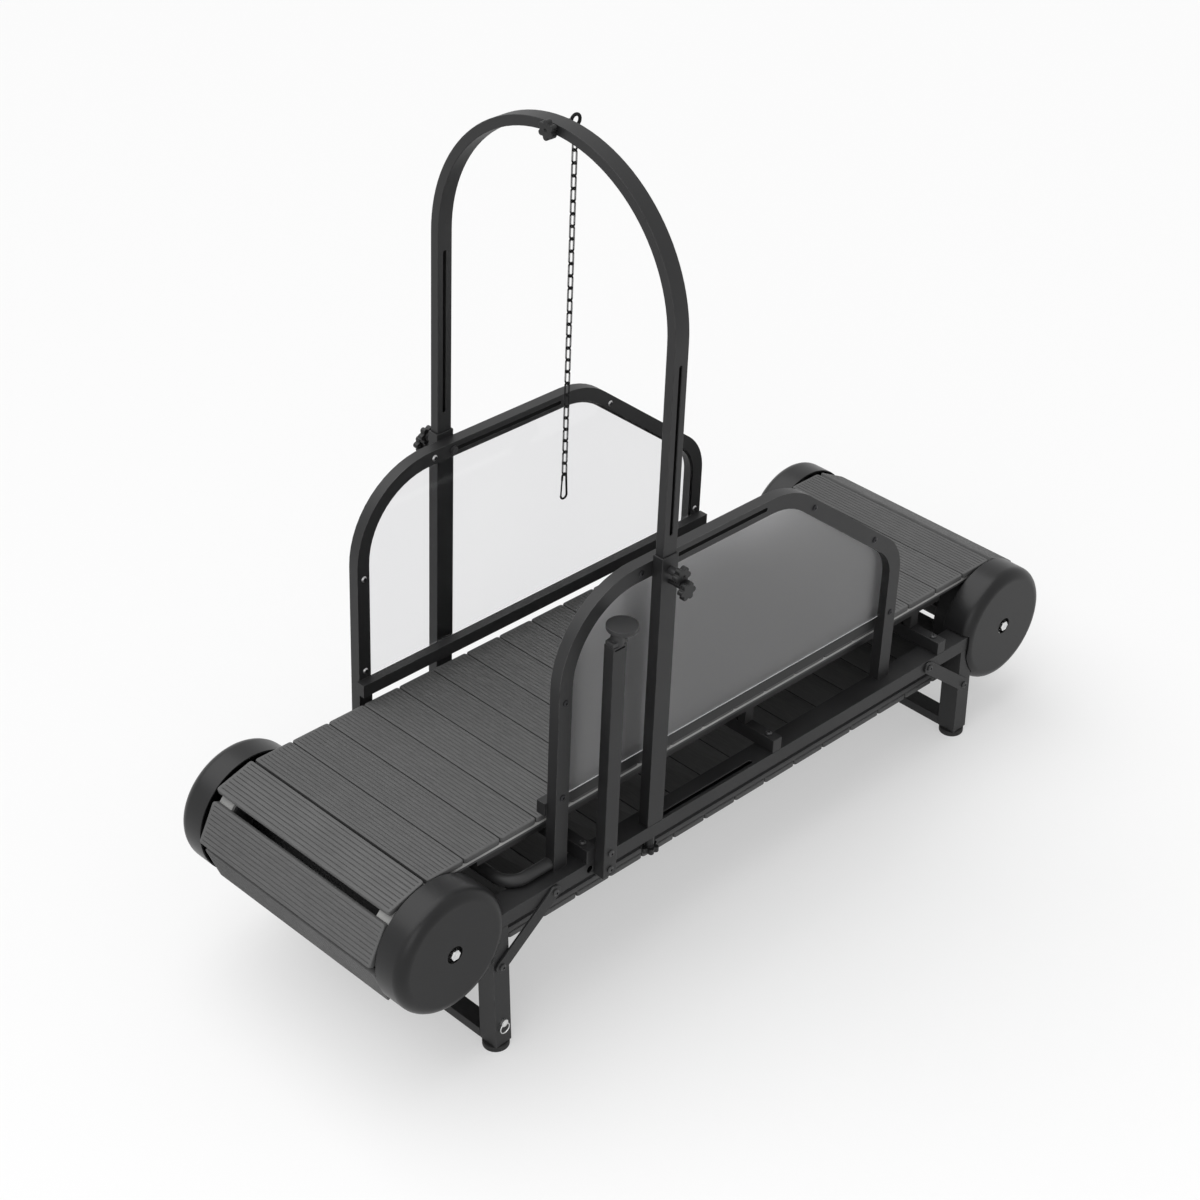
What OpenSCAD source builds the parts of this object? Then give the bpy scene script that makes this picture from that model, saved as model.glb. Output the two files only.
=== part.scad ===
// Slat-belt dog treadmill without a motor: two drums under a loop of ribbed slats,
// two side rails on legs, two clear side panels and a sliding arch with a chain and hook.
// Lengths are in millimetres. X runs along the belt, Y across it, Z is up from the floor.
// The deck is drawn level and then tilted, and the legs stay plumb.

/* [Deck] */
// Distance between the two drum axles
drum_gap = 1606; // [1560:1:1660]
// Slats in the loop
slat_n = 43; // [42:1:44]
// Length of a slat across the belt
slat_len = 493; // [470:1:494]
// Thickness of a slat
slat_t = 12; // [10:0.5:14]
// Gap between two slats on the flat run
slat_gap = 2; // [1:0.1:4]
// Distance from a slat's fixing to its middle
slat_lag = 15; // [5:1:20]
// Thickness of the two rubber belts that carry the slats
belt_t = 12; // [10:0.5:12]
// Width of each rubber belt
belt_w = 36; // [30:1:38]
// Radius of the drum under the belts
drum_r = 101.7; // [98:0.1:102]
// Tilt of the deck along its length, in degrees
incline = 3; // [2.5:0.1:3.5]
// Height of the belt's top above the floor at the middle
deck_h = 405; // [400:1:420]

/* [Frame] */
// Distance from a slat's end to the outer face of a side rail
rail_side = 67.5; // [66:0.5:72]
// Width of a side rail
rail_w = 50; // [48:1:50]
// Height of a side rail
rail_h = 32; // [30:1:34]
// Depth of the rail's top below the belt's top
rail_top = 106; // [104:1:110]
// Wall of the side rails
rail_t = 3; // [2:0.5:4]
// Width of a cross member
cross_w = 25; // [20:1:30]
// Height of a cross member
cross_h = 30; // [26:1:32]
// Diameter of the bent tie tube
tie_d = 25; // [20:1:27]

/* [Legs] */
// Distance of the legs from the middle
leg_x = 685; // [680:1:690]
// Leg size along the treadmill
leg_wx = 40; // [36:1:42]
// Leg size across the treadmill
leg_wy = 45; // [42:1:46]
// Leg wall
leg_t = 3; // [2:0.5:4]
// Diameter of a foot pad
pad_d = 53; // [50:1:60]
// Height of a foot pad
pad_h = 12; // [10:1:16]
// Diameter of a pull pin
pin_d = 8; // [7:0.5:9]
// Width of a brace strap
brace_w = 28; // [24:1:30]
// Thickness of a brace strap
brace_t = 5; // [4:0.5:5]

/* [Panels] */
// Height of a panel's top above the belt
panel_top = 487; // [484:1:490]
// Width of the panel's bent bar
bar_w = 33; // [30:1:34]
// Thickness of the panel's bent bar
bar_t = 24; // [22:0.5:24]
// Thickness of a clear sheet
sheet_t = 4; // [3:0.5:5]
// Width of the slots that the clamp bolts slide in
slot_w = 9; // [8.8:0.1:10]

/* [Arch] */
// Lower post size along the treadmill
post_wx = 42; // [40:0.5:44]
// Lower post size across the treadmill
post_wy = 25; // [24:0.5:25]
// Wall of the lower posts across the treadmill
post_t = 2.2; // [2:0.1:2.6]
// Height of the lower posts' top above the belt
post_top = 500; // [494:1:510]
// Height of the arch's centre of curve above the belt
arch_c = 920; // [910:1:950]
// Width of the slots in the arch's legs
arch_slot_w = 8; // [6:0.5:9]
// Diameter of a star knob
knob_d = 38; // [34:1:38]
// Thickness of a star knob
knob_t = 12; // [10:1:12]
// Diameter of the clamp bolts
bolt_d = 8; // [7:0.5:8.4]

/* [Chain] */
// Links in the chain
link_n = 29; // [20:1:29]
// Inner length of a link
link_in = 24.3; // [23:0.1:25]
// Wire diameter of a link
link_d = 3; // [2.6:0.1:3.2]

/* [Fits] */
// Gap between a piece and what it seats on
seat = 0.3; // [0.2:0.05:0.4]
// Radial gap of a running fit
run = 0.06; // [0.04:0.01:0.09]

/* [Hidden] */
$fn = 48;
eps = 0.6;
slat_mid = drum_r + seat + belt_t + slat_t / 2;
drum_out = slat_mid + slat_t / 2;
bend_r = drum_r + seat + belt_t / 2;
bend_len = PI * bend_r;
loop_len = 2 * drum_gap + 2 * bend_len;
pitch = loop_len / slat_n;
slat_w = pitch - slat_gap;
slat_0 = 44.2;
slat_end = slat_len / 2;
belt_r0 = drum_r + seat;
belt_y = slat_end - 38.5;
ax = drum_gap / 2;
az = -drum_out;
axle_d = 16;
rail_out = slat_end + rail_side;
rail_in = rail_out - rail_w;
rail_bot = rail_top + rail_h;
rail_z = -(rail_top + rail_bot) / 2;
shift_x = drum_out * sin(incline);
post_x = -279.5;
post_out = rail_out;
post_y = post_out - post_wy / 2;
panel_out = post_out - post_wy - seat;
panel_in = panel_out - bar_t;
panel_x0 = -526;
panel_x1 = 446;
foot_z = -rail_top + seat;
tube_z0 = 15;
tube_h = 28;
tube_wy = 20;
slot_x1 = 8;
slot_z = panel_top - bar_w / 2;
leg_out = rail_out - seat;
leg_yc = leg_out - leg_wy / 2;
leg_z0 = pad_h + 2;
foot_wx = leg_wx - 2 * leg_t - 2 * seat;
foot_wy = leg_wy - 2 * leg_t - 2 * seat;
leg_bar_h = 22;
pin_z = 70;
arch_t = post_wy - 2 * post_t - 2 * seat;
arch_w = 35;
arch_r = post_y;
arch_bot = 120;
post_tx = (post_wx - arch_w) / 2 - seat;
knob_b_z = 446;
plate_dx = 11;
eye_x = 38;
ring_r = 10.5;
link_pitch = link_in - 0.25;
hook_z = -(link_n - 1) * link_pitch - link_in / 2 - 2.9;
hook_turn = link_n % 2 == 0 ? 0 : 90;

black = [0.13, 0.13, 0.135];
dark = [0.08, 0.08, 0.085];
zinc = [0.78, 0.79, 0.8];
slat_grey = [0.34, 0.34, 0.34];
belt_grey = [0.66, 0.66, 0.65];

// The deck's own frame: the belt's top at the middle is its origin
module deck() {
    translate([shift_x, 0, deck_h])
        rotate([0, incline, 0])
            children();
}

// The far side is the mirror of the near side, s is -1 near and 1 far
module side(s) {
    mirror([0, s > 0 ? 1 : 0, 0])
        children();
}

// A rod along Y from y0 to y1
module rod_y(d, y0, y1, x = 0, z = 0, f = 48) {
    translate([x, y0, z])
        rotate([-90, 0, 0])
            cylinder(d = d, h = y1 - y0, $fn = f);
}

// A box by its two corners
module box(a, b) {
    translate(a)
        cube(b - a);
}

// A flat plate in the XZ plane between y0 and y1
module plate_y(y0, y1) {
    translate([0, y1, 0])
        rotate([90, 0, 0])
            linear_extrude(height = y1 - y0)
                children();
}

// A cut with round ends along X in a wall between y0 and y1
module slot_y(xa, xb, z, w, y0, y1) {
    box([xa, y0, z - w / 2], [xb, y1, z + w / 2]);
    rod_y(w, y0, y1, xa, z);
    rod_y(w, y0, y1, xb, z);
}

// A cut with round ends along Z in a wall between y0 and y1
module slot_up(x, za, zb, w, y0, y1) {
    box([x - w / 2, y0, za], [x + w / 2, y1, zb]);
    rod_y(w, y0, y1, x, za);
    rod_y(w, y0, y1, x, zb);
}

// Points of a rounded corner at b between a and c
function corner(a, b, c, r, n) =
    let (u = (a - b) / norm(a - b))
    let (v = (c - b) / norm(c - b))
    let (half = acos(u * v) / 2)
    let (t = r / tan(half))
    let (m = (u + v) / norm(u + v))
    let (o = b + m * (r / sin(half)))
    let (p = b + u * t - o)
    let (q = b + v * t - o)
    let (a0 = atan2(p[1], p[0]))
    let (a1 = atan2(q[1], q[0]))
    let (d = a1 - a0 > 180 ? a1 - a0 - 360 : (a1 - a0 < -180 ? a1 - a0 + 360 : a1 - a0))
    [for (i = [0:n]) o + r * [cos(a0 + d * i / n), sin(a0 + d * i / n)]];

// The panel's outline, i inside its outer edge and open down to z0
function outline(i, z0) =
    let (xa = panel_x0 + i)
    let (xb = panel_x1 - i)
    let (zt = panel_top - i)
    let (k = 0.77)
    let (drop = i * sqrt(1 + k * k))
    let (xc = 87 - (drop - i) / k)
    let (zr = panel_top - k * (xb - 87) - drop)
    concat([[xa, z0]],
        corner([xa, z0], [xa, zt], [xc, zt], 190 - i, 14),
        corner([xa, zt], [xc, zt], [xb, zr], 180 - i, 6),
        corner([xc, zt], [xb, zr], [xb, z0], 120 - i, 8),
        [[xb, z0]]);

// Side rail: a box tube with a slot for the arch and bores for the axles
module rail() {
    difference() {
        union() {
            box([-ax - 35, -rail_out, -rail_bot], [ax + 35, -rail_in, -rail_top]);
        }
        box([-ax - 40, -rail_out + rail_t, -rail_bot + rail_t],
            [ax + 40, -rail_in - rail_t, -rail_top - rail_t]);
        box([post_x - 4.5, -post_y - slot_w / 2, -rail_bot - 1],
            [slot_x1 - 4.5, -post_y + slot_w / 2, -rail_top + 1]);
        for (x = [post_x - 4.5, slot_x1 - 4.5])
            translate([x, -post_y, -rail_bot - 1])
                cylinder(d = slot_w, h = rail_h + 2);
        for (x = [-ax, ax])
            rod_y(axle_d + 0.4, -rail_out - 1, -rail_in + 1, x, az);
        rod_y(15, -rail_out - 1, -rail_out + rail_t + 1, -455, rail_z);
        rod_y(8.4, -rail_out - 1, -rail_out + rail_t + 1, -427, rail_z);
        for (x = [-550, 550])
            rod_y(8.4, -rail_out - 1, -rail_out + rail_t + 1, x, rail_z);
        for (x = [-452, 70, 591])
            translate([x, -rail_out + 25, -rail_top - rail_t - 1])
                cylinder(d = 8.4, h = rail_t + 2);
    }
}

module rail_near() {
    color(black)
        deck()
            rail();
}

module rail_far() {
    color(black)
        deck()
            side(1)
                rail();
}

// Cross member with closed ends, lying on both rails
module cross(x) {
    difference() {
        box([x - cross_w / 2, -rail_out, -rail_top + seat],
            [x + cross_w / 2, rail_out, -rail_top + seat + cross_h]);
        box([x - cross_w / 2 + 2.5, -rail_out + 2.5, -rail_top + seat + 2.5],
            [x + cross_w / 2 - 2.5, rail_out - 2.5, -rail_top + seat + cross_h - 2.5]);
        for (s = [-1, 1])
            translate([x, s * (rail_out - 25), -rail_top - 1])
                cylinder(d = 8.4, h = cross_h + 4);
    }
}

module cross_front() {
    color(black)
        deck()
            cross(-452);
}

module cross_mid() {
    color(black)
        deck()
            cross(70);
}

module cross_rear() {
    color(black)
        deck()
            cross(591);
}

// Bent round tube that ties the rails together behind the front drum
module tie_tube() {
    r = tie_d / 2;
    z = -rail_top + seat + r;
    y = rail_out - 80;
    color(black)
        deck() {
            translate([-627, -y, z])
                rotate([-90, 0, 0])
                    cylinder(r = r, h = 2 * y, $fn = 32);
            for (s = [-1, 1])
                side(s) {
                    translate([-587, -y, z])
                        rotate([0, 0, 180])
                            rotate_extrude(angle = 90, $fn = 48)
                                translate([40, 0])
                                    circle(r = r, $fn = 24);
                    translate([-587, -y - 40, z])
                        rotate([0, 90, 0])
                            cylinder(r = r, h = panel_x0 - seat + 587, $fn = 32);
                }
        }
}

// Low-friction tracks under the belts, standing on the cross members
module belt_guides() {
    zb = -drum_out + drum_r;
    zc = -rail_top + 2 * seat + cross_h;
    color([0.2, 0.2, 0.2])
        deck()
            for (s = [-1, 1])
                side(s) {
                    box([-ax + 130, -belt_y - belt_w / 2 - 10, zb - 20],
                        [ax - 130, -belt_y - belt_w / 2 + 10, zb]);
                    for (x = [-452, 70, 591])
                        box([x - 12, -belt_y - belt_w / 2 - 10, zc],
                            [x + 12, -belt_y - belt_w / 2 + 10, zb - 19.5]);
                }
}

// Short accessory post on the near rail
module short_post() {
    color(black)
        deck()
            difference() {
                union() {
                    box([-444, -rail_out - 25, -rail_bot], [-410, -rail_out - seat, 384]);
                    box([-439.2, -rail_out - 2, -rail_top + seat], [-410, -rail_out + 5, -68]);
                }
                box([-441, -rail_out - 22.5, -rail_bot - 1],
                    [-413, -rail_out - 2.8, 381]);
                rod_y(8.4, -rail_out - 30, -rail_out + 1, -427, rail_z);
                rod_y(8.4, -rail_out - 30, -rail_out + 8, -427, -84);
                box([-440, -rail_out - 26, 376], [-414, -rail_out - 22, 379]);
            }
}

// Round plate on a neck at the top of the short post
module top_plate() {
    color(black)
        deck()
            translate([-424, -rail_out - 14, 0]) {
                translate([0, 0, 384 + seat])
                    cylinder(d = 26, h = 24);
                translate([-20, -10, 384 + seat])
                    cube([36, 21, 9]);
                translate([plate_dx, 0, 407])
                    cylinder(d1 = 54, d2 = 60, h = 4, $fn = 64);
                translate([plate_dx, 0, 411])
                    cylinder(d = 60, h = 8, $fn = 64);
            }
}

// Button head screw along Y, the head's outer face towards -Y
module button(x, y, z, len, d = 8, hd = 14, hh = 4.4) {
    rod_y(d, y, y + len, x, z);
    translate([x, y, z])
        rotate([90, 0, 0])
            difference() {
                union() {
                    cylinder(d = hd, h = hh * 0.45);
                    translate([0, 0, hh * 0.45])
                        cylinder(d1 = hd, d2 = hd * 0.6, h = hh * 0.55);
                }
                translate([0, 0, hh * 0.4])
                    cylinder(d = d * 0.72, h = hh, $fn = 6);
            }
}

// Every button head bolt of the frame
module frame_bolts() {
    color(dark)
        deck() {
            for (s = [-1, 1])
                for (x = [-452, 70, 591])
                    side(s)
                        translate([x, -rail_out + 25, -rail_top + 2 * seat + cross_h])
                            rotate([-90, 0, 0])
                                button(0, 0, 0, cross_h + rail_t + 4);
            button(-427, -rail_out - 25 - seat, rail_z, 30);
            button(-427, -rail_out - 25 - seat, -84, 33);
            for (s = [-1, 1])
                side(s)
                    for (q = [-1, 1]) {
                        button(q * 550, -rail_out - 2 * seat - brace_t, rail_z, brace_t + 6);
                        button(q * 683, -rail_out - 2 * seat - brace_t, -226, brace_t + 6);
                    }
        }
}

// Panel frame: a bent flat bar welded to a box tube, standing on the rail
module panel() {
    difference() {
        union() {
            difference() {
                plate_y(-panel_out, -panel_in)
                    polygon(outline(0, foot_z));
                plate_y(-panel_out - 1, -panel_in + 1)
                    polygon(outline(bar_w, foot_z - 1));
            }
            box([panel_x0 - 6, -panel_in - eps, tube_z0],
                [panel_x1 + 4, -panel_in + tube_wy, tube_z0 + tube_h]);
        }
        plate_y(-panel_in - sheet_t - 2 * seat, -panel_in + 1)
            polygon(outline(bar_w - 5, tube_z0 + tube_h));
        slot_y(post_x - 3, slot_x1 - 2, slot_z, slot_w, -panel_out - 1, -panel_in + 1);
        for (p = panel_holes())
            rod_y(6.6, -panel_out - 1, -panel_in + 1, p[0], p[1]);
    }
}

function panel_holes() = [[panel_x0 + bar_w / 2, 272], [panel_x0 + bar_w / 2, 59.5],
    [-328, panel_top - bar_w / 2], [151, 417], [351, 263], [panel_x1 - bar_w / 2, 57]];

module panel_near() {
    color(black)
        deck()
            panel();
}

module panel_far() {
    color(black)
        deck()
            side(1)
                panel();
}

// Clear sheet set into the inner face of a panel frame
module sheet() {
    plate_y(-panel_in - sheet_t - seat, -panel_in - seat)
        polygon(outline(bar_w - 5 + seat, tube_z0 + tube_h + seat));
}

module sheet_near() {
    color([0.85, 0.87, 0.88, 0.45])
        deck()
            sheet();
}

module sheet_far() {
    color([0.85, 0.87, 0.88, 0.45])
        deck()
            side(1)
                sheet();
}

// Through screws of both panels, with a head on each face
module panel_screws() {
    color(zinc)
        deck()
            for (s = [-1, 1])
                side(s)
                    for (p = panel_holes()) {
                        button(p[0], -panel_out - seat / 2, p[1], bar_t + seat, 6, 13, 2.4);
                        translate([p[0], -panel_in + seat / 2, p[1]])
                            rotate([-90, 0, 0])
                                cylinder(d1 = 13, d2 = 8, h = 2.4);
                    }
}

// Plumb leg, cut to the rail's lower face; q is -1 front and 1 rear
module leg(q, z0) {
    difference() {
        box([q * leg_x - leg_wx / 2, -leg_out, z0],
            [q * leg_x + leg_wx / 2, -leg_out + leg_wy, deck_h]);
        box([q * leg_x - leg_wx / 2 + leg_t, -leg_out + leg_t, z0 - 1],
            [q * leg_x + leg_wx / 2 - leg_t, -leg_out + leg_wy - leg_t, deck_h + 1]);
        deck()
            box([-ax, -rail_out - 5, -rail_bot - seat], [ax, -200, 300]);
        deck()
            rod_y(8.4, -leg_out - 1, -leg_out + leg_t + 1, q * 683, -226);
        if (q < 0)
            rod_y(pin_d + 2 * run, -leg_out - 1, -leg_out + leg_wy + 1, -leg_x, pin_z);
    }
}

module front_leg_near() {
    color(black)
        leg(-1, leg_z0);
}

module front_leg_far() {
    color(black)
        side(1)
            leg(-1, leg_z0);
}

module rear_leg_near() {
    color(black)
        leg(1, leg_z0);
}

module rear_leg_far() {
    color(black)
        side(1)
            leg(1, leg_z0);
}

// Bars between the feet of the front pair and of the rear pair of legs
module leg_bars() {
    y = leg_out - leg_wy - seat;
    color(black)
        for (q = [-1, 1])
            difference() {
                box([q * leg_x - leg_wx / 2, -y, leg_z0],
                    [q * leg_x + leg_wx / 2, y, leg_z0 + leg_bar_h]);
                box([q * leg_x - leg_wx / 2 + 2.5, -y - 1, leg_z0 + 2.5],
                    [q * leg_x + leg_wx / 2 - 2.5, y + 1, leg_z0 + leg_bar_h - 2.5]);
            }
}

// Points of a strap of length l with round ends of radius r
function strap(l, r, n) =
    concat([for (i = [0:n]) r * [cos(90 + i * 180 / n), sin(90 + i * 180 / n)]],
        [for (i = [0:n]) [l, 0] + r * [cos(i * 180 / n - 90), sin(i * 180 / n - 90)]]);

// Flat straps from the rails to the legs
module braces() {
    d = [133, -226 - rail_z];
    color(black)
        deck()
            for (s = [-1, 1])
                side(s)
                    for (q = [-1, 1])
                        mirror([q < 0 ? 1 : 0, 0, 0])
                            difference() {
                                plate_y(-rail_out - seat - brace_t, -rail_out - seat)
                                    translate([550, rail_z])
                                        rotate(atan2(d[1], d[0]))
                                            polygon(strap(norm(d), brace_w / 2, 12));
                                for (p = [[550, rail_z], [683, -226]])
                                    rod_y(8.4, -rail_out - 10, -rail_out + 1, p[0], p[1]);
                            }
}

// Cup-shaped side cover over a drum's end, notched for the rail and the leg
module cover(q) {
    y0 = slat_end + 6.5;
    y1 = rail_out + 7;
    r = 131;
    f = 24;
    w = 3.5;
    arc = [for (i = [0:7]) [r - f + f * sin(i * 90 / 7), y1 - f + f * cos(i * 90 / 7)]];
    inn = [for (i = [0:6]) let (a = 90 - i * 15)
        [r - f + (f - w) * sin(a), y1 - f + (f - w) * cos(a)]];
    mirror([q > 0 ? 1 : 0, 0, 0])
        difference() {
            translate([-ax, 0, az])
                rotate([90, 0, 0])
                    union() {
                        rotate_extrude($fn = 72)
                            polygon(concat([[18, y1]], arc, [[r, y0], [r - w, y0]], inn,
                                [[18, y1 - w]]));
                        for (x = [-26, 26])
                            translate([x, -az + rail_z, rail_out + seat])
                                cylinder(d = 10, h = 4);
                    }
            box([-ax + 60, -rail_out - 1.3, -rail_bot - 1.5],
                [-ax + 140, 13 - y0, -rail_top + 1.5]);
            box([-ax + 118, -rail_out - 20, -rail_bot - 60],
                [-ax + 140, 13 - y0, -rail_top + 1.5]);
            box([-ax + 92, -rail_out - 1.3, -rail_bot - 120],
                [-ax + 140, 13 - y0, -rail_bot + 2]);
        }
}

module cover_front_near() {
    color(dark)
        deck()
            cover(-1);
}

module cover_front_far() {
    color(dark)
        deck()
            side(1)
                cover(-1);
}

module cover_rear_near() {
    color(dark)
        deck()
            cover(1);
}

module cover_rear_far() {
    color(dark)
        deck()
            side(1)
                cover(1);
}

// Fixed axle with a hexagon head at each end
module axle(x) {
    rod_y(axle_d, -rail_out - 1, rail_out + 1, x, az);
    for (s = [-1, 1])
        side(s)
            rod_y(23.1, -rail_out - 10, -rail_out - seat, x, az, 6);
}

module front_axle() {
    color(zinc)
        deck()
            axle(-ax);
}

module rear_axle() {
    color(zinc)
        deck()
            axle(ax);
}

// Bearing sleeves on the axles, which the drums turn on
module bushings() {
    color([0.6, 0.5, 0.3])
        deck()
            for (x = [-ax, ax])
                for (s = [-1, 1])
                    side(s)
                        difference() {
                            union() {
                                rod_y(28, 0.5 - slat_end, 30.5 - slat_end, x, az);
                                rod_y(24, -rail_in + seat, 1.5 - slat_end, x, az);
                            }
                            rod_y(axle_d + 0.2, -rail_in - 1, 36.5 - slat_end, x, az);
                        }
}

// Drum: two flanged pulleys welded to a tube
module drum(x) {
    w = belt_w + 2;
    ya = belt_y - 1;
    half = [[14 + run, ya + 8], [14 + run, slat_end], [26, slat_end], [26, ya + 22],
        [drum_r - 7, ya + 22], [drum_r - 7, ya + w], [drum_r, ya + w], [drum_r, ya],
        [drum_r - 7, ya], [drum_r - 7, ya + 14], [32, ya + 14], [32, 0], [28, 0], [28, ya + 8]];
    low = [for (i = [len(half) - 1:-1:0]) [half[i][0], -half[i][1]]];
    translate([x, 0, az])
        rotate([90, 0, 0])
            rotate_extrude($fn = 96)
                polygon(concat([for (i = [0:11]) half[i]],
                    [for (i = [2:13]) low[i]], [[28, -ya - 8], [28, ya + 8]]));
}

module front_drum() {
    color([0.16, 0.16, 0.16])
        deck()
            drum(-ax);
}

module rear_drum() {
    color([0.16, 0.16, 0.16])
        deck()
            drum(ax);
}

// Endless rubber belt round both drums
module belt() {
    y0 = -belt_y - belt_w;
    plate_y(y0, -belt_y)
        difference() {
            union() {
                translate([-ax, az - belt_r0 - belt_t])
                    square([drum_gap, 2 * (belt_r0 + belt_t)]);
                for (x = [-ax, ax])
                    translate([x, az])
                        circle(r = belt_r0 + belt_t, $fn = 96);
            }
            translate([-ax, az - belt_r0])
                square([drum_gap, 2 * belt_r0]);
            for (x = [-ax, ax])
                translate([x, az])
                    circle(r = belt_r0, $fn = 96);
        }
}

module belt_near() {
    color(belt_grey)
        deck()
            belt();
}

module belt_far() {
    color(belt_grey)
        deck()
            side(1)
                belt();
}

// Which part of the loop holds the slat whose middle is at d: 0 top, 1 a bend, 2 bottom
function part_of_loop(d) = d < drum_gap + slat_lag ? 0 :
    (d < drum_gap + bend_len + slat_lag ? 1 :
    (d < 2 * drum_gap + bend_len - slat_lag ? 2 :
    (d < loop_len - slat_lag ? 1 : 0)));

// Angle that a fixing has turned at the distance a along a bend
function turned(a) = a / bend_r * 180 / PI;

// Puts a slat's middle at the distance d along the loop, bent round the drums at its fixing
module on_loop(d) {
    if (part_of_loop(d) == 0)
        translate([-ax + (d > 2 * drum_gap ? d - loop_len : d), 0, az + slat_mid])
            children();
    else if (part_of_loop(d) == 2)
        translate([ax - (d - drum_gap - bend_len), 0, az - slat_mid])
            rotate([0, 180, 0])
                children();
    else if (d < 2 * drum_gap)
        translate([ax, 0, az])
            rotate([0, turned(d - slat_lag - drum_gap), 0])
                translate([slat_lag, 0, slat_mid])
                    children();
    else
        translate([-ax, 0, az])
            rotate([0, 180 + turned(d + slat_lag - 2 * drum_gap - bend_len), 0])
                translate([-slat_lag, 0, slat_mid])
                    children();
}

function slat_at(k) = slat_0 + k * pitch;

// The slats of one part of the loop
module slats(part) {
    for (k = [0:slat_n - 1])
        if (part_of_loop(slat_at(k)) == part)
            on_loop(slat_at(k))
                box([-slat_w / 2, -slat_len / 2, -slat_t / 2 + seat / 3],
                    [slat_w / 2, slat_len / 2, slat_t / 2]);
}

module slats_top() {
    color(slat_grey)
        deck()
            slats(0);
}

module slats_bottom() {
    color(slat_grey)
        deck()
            slats(2);
}

module slats_ends() {
    color(slat_grey)
        deck()
            slats(1);
}

// Nuts of the slats' fixing clips, beside the belts
module slat_nuts() {
    color([0.55, 0.5, 0.3])
        deck()
            for (k = [0:slat_n - 1])
                on_loop(slat_at(k))
                    for (s = [-1, 1])
                        translate([0, s * (belt_y - 10), -slat_t / 2 - 4])
                            cylinder(d = 10, h = 4, $fn = 6);
}

// Foot pad with a neck that plugs into its leg
module pad(x) {
    translate([x, -leg_yc, 0])
        cylinder(d = pad_d, h = pad_h);
}

module rear_pads() {
    color([0.05, 0.05, 0.05])
        for (s = [-1, 1])
            side(s) {
                pad(leg_x);
                box([leg_x - foot_wx / 2, -leg_yc - foot_wy / 2, pad_h - 1],
                    [leg_x + foot_wx / 2, -leg_yc + foot_wy / 2, pad_h + 40]);
            }
}

// Inner tube of a front leg, drilled for the pull pin at five heights
module foot() {
    difference() {
        box([-leg_x - foot_wx / 2, -leg_yc - foot_wy / 2, pad_h + seat],
            [-leg_x + foot_wx / 2, -leg_yc + foot_wy / 2, 200]);
        box([-leg_x - foot_wx / 2 + 2.5, -leg_yc - foot_wy / 2 + 2.5, pad_h + 4],
            [-leg_x + foot_wx / 2 - 2.5, -leg_yc + foot_wy / 2 - 2.5, 201]);
        for (i = [0:4])
            rod_y(pin_d + 2 * run, -leg_yc - leg_wy, -leg_yc + leg_wy, -leg_x, pin_z + i * 25);
    }
}

module front_foot_near() {
    color(black)
        foot();
}

module front_foot_far() {
    color(black)
        side(1)
            foot();
}

module front_pad_near() {
    color([0.05, 0.05, 0.05])
        pad(-leg_x);
}

module front_pad_far() {
    color([0.05, 0.05, 0.05])
        side(1)
            pad(-leg_x);
}

// Pull pin with its ring
module pull_pin() {
    y = -leg_out - seat;
    rod_y(pin_d, y - 3, -leg_out + leg_wy - 1, -leg_x, pin_z, 32);
    rod_y(16, y - 5, y, -leg_x, pin_z, 32);
    translate([-leg_x, y - 4, pin_z - 13])
        rotate([90, 0, 0])
            rotate_extrude($fn = 32)
                translate([11, 0])
                    circle(d = 2.4, $fn = 8);
}

module pin_near() {
    color(zinc)
        pull_pin();
}

module pin_far() {
    color(zinc)
        side(1)
            pull_pin();
}

// Lower post of the arch: a box tube with a solid foot
module post() {
    difference() {
        box([post_x - post_wx / 2, -post_out, foot_z],
            [post_x + post_wx / 2, -post_out + post_wy, post_top]);
        box([post_x - post_wx / 2 + post_tx, -post_out + post_t, foot_z + 18],
            [post_x + post_wx / 2 - post_tx, -post_out + post_wy - post_t, post_top + 1]);
        rod_y(bolt_d + 0.4, -post_out - 1, -post_out + post_wy + 1, post_x, slot_z);
        rod_y(bolt_d + 2 * run, -post_out - 1, -post_out + post_wy + 1, post_x, knob_b_z);
        translate([post_x, -post_y, foot_z - 1])
            cylinder(d = bolt_d + 2 * run, h = 17);
    }
}

module post_near() {
    color(black)
        deck()
            post();
}

module post_far() {
    color(black)
        deck()
            side(1)
                post();
}

// Bolts through the panel slots, with a round head inside and a knob outside
module slot_bolts() {
    color(dark)
        deck()
            for (s = [-1, 1])
                side(s) {
                    rod_y(bolt_d, -post_out - 26, -panel_in + seat + 1, post_x, slot_z);
                    rod_y(18, -panel_in + seat, -panel_in + seat + 3, post_x, slot_z);
                    rod_y(13, -panel_in + seat + 2.5, -panel_in + seat + 5, post_x, slot_z);
                    rod_y(16, -post_out - 17, -post_out - seat, post_x, slot_z);
                }
}

// Six-lobed star, flat in XY
module star(d) {
    circle(d = d * 0.72, $fn = 36);
    for (i = [0:5])
        rotate(i * 60)
            translate([d * 0.345, 0])
                circle(d = d * 0.31, $fn = 18);
}

// Star knob along Z, its inner face at z = 0, with a blind or open bore
module knob(bore) {
    difference() {
        union() {
            linear_extrude(height = knob_t)
                star(knob_d);
            translate([0, 0, -5])
                cylinder(d = 18, h = 5.5, $fn = 36);
        }
        translate([0, 0, -6])
            cylinder(d = bore, h = 13);
        translate([0, 0, knob_t - 3])
            cylinder(d = 7, h = 4, $fn = 6);
    }
}

// Knob A on the slot bolt
module knob_a() {
    translate([post_x, -post_out - 17 - seat - 5, slot_z])
        rotate([90, 0, 0])
            knob(bolt_d + 2 * run);
}

module knob_a_near() {
    color(dark)
        deck()
            knob_a();
}

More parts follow.
